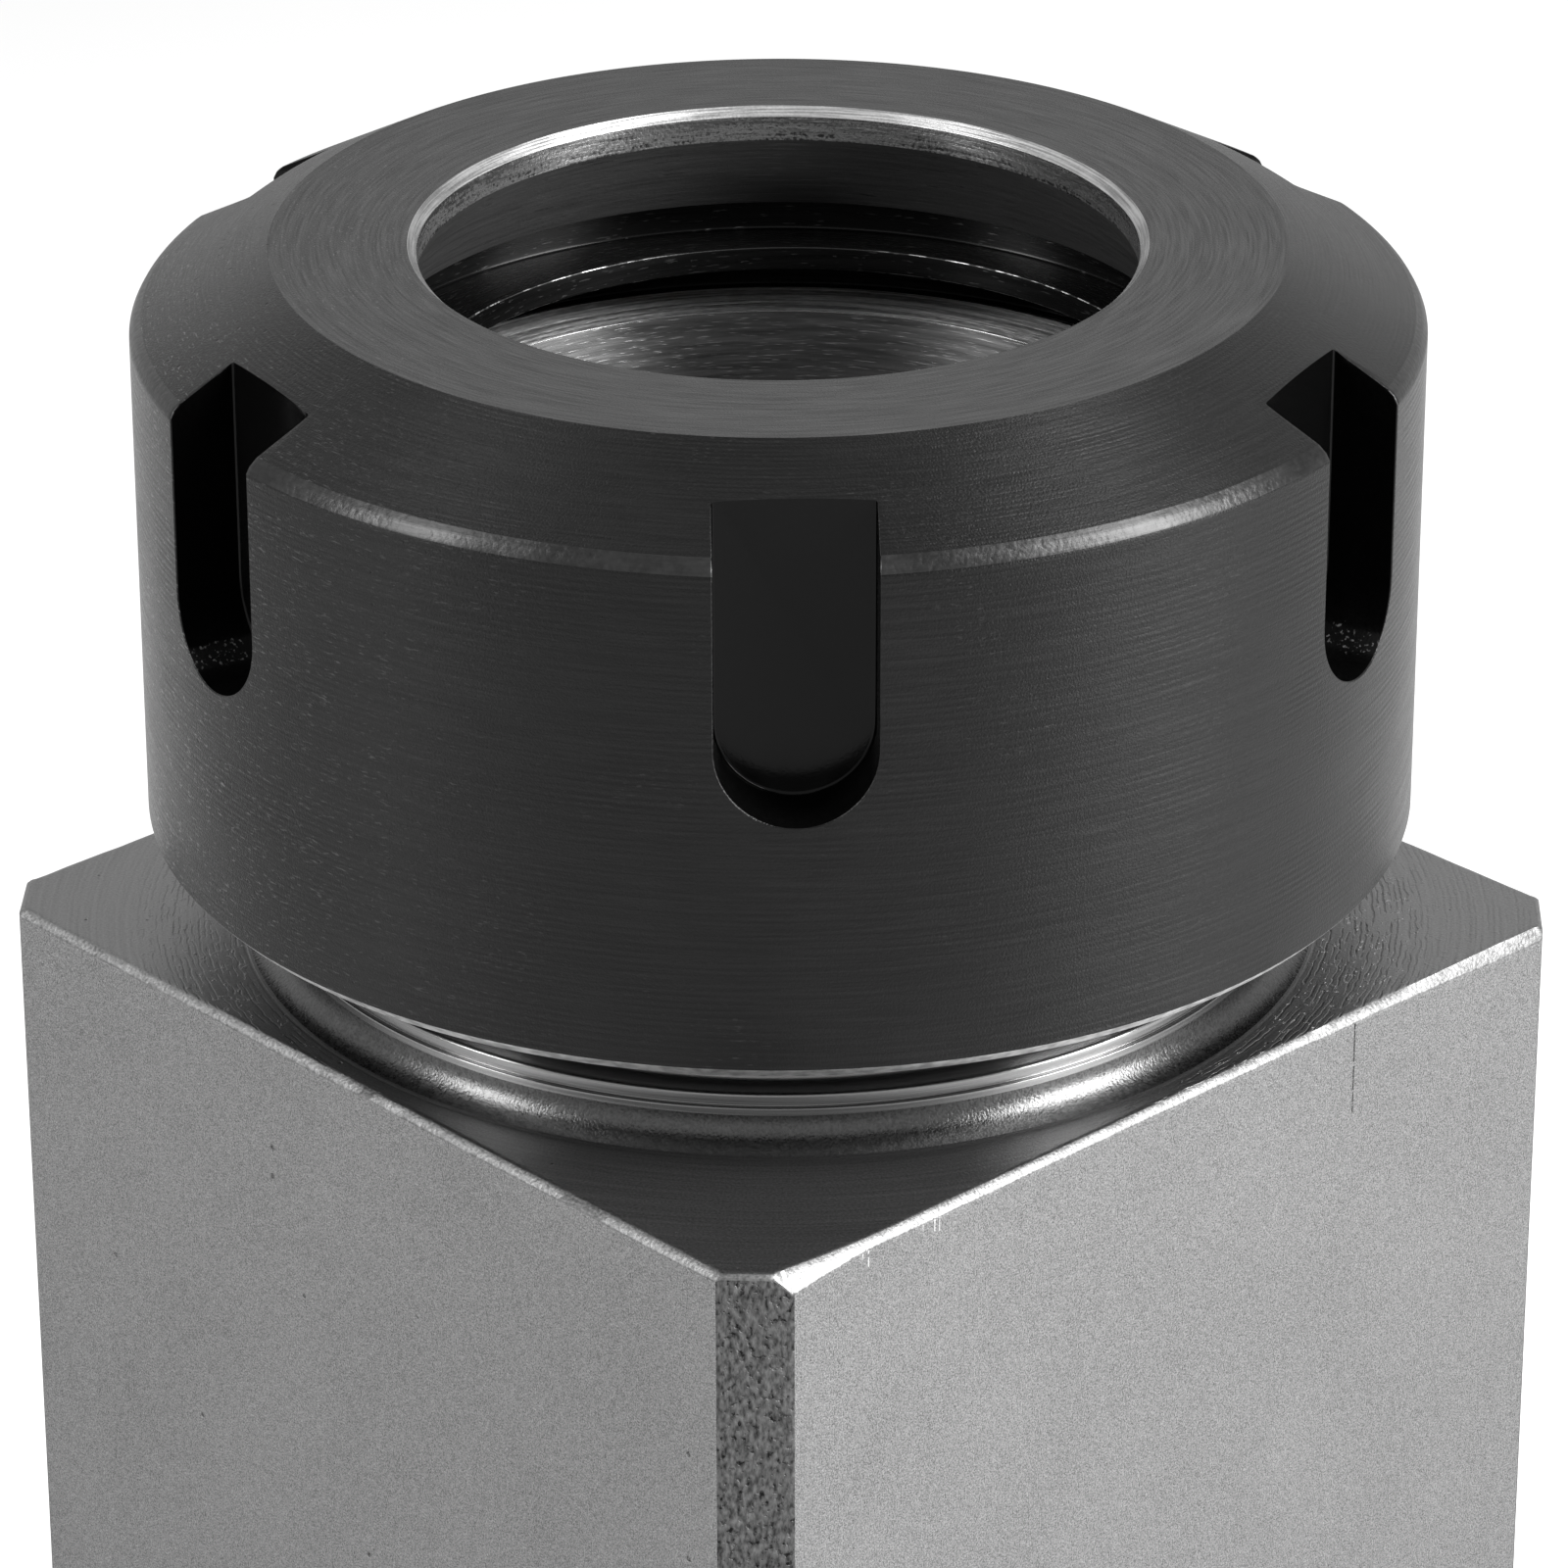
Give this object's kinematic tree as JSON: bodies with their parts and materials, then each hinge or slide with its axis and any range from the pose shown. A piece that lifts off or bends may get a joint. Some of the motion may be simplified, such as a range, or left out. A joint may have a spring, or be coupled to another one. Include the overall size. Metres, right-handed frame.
{
  "type": "square collet block",
  "caption": "Square steel block that holds a tapered collet in its threaded nose, with a slotted round clamping nut that screws on.",
  "frame": {"origin": "centre of the block's bottom face", "axes": "+Z along the nose and nut, away from the block; the block's flat sides face along X and Y"},
  "size_m": [0.05, 0.05, 0.0936],
  "materials": {
    "block_steel": "fine-blasted sides, turned and ground nose",
    "nut_steel": "black-oxide turned steel"
  },
  "bodies": {
    "block": {"collet_block": "block_steel"},
    "nut": {"clamping_nut": "nut_steel"}
  },
  "joints": [
    {"name": "nut_turn", "type": "hinge", "parent": "block", "child": "nut", "pos_m": [0, 0, 0.0818], "axis": [0, 0, 1], "range_deg": [-576, 2970]}
  ]
}
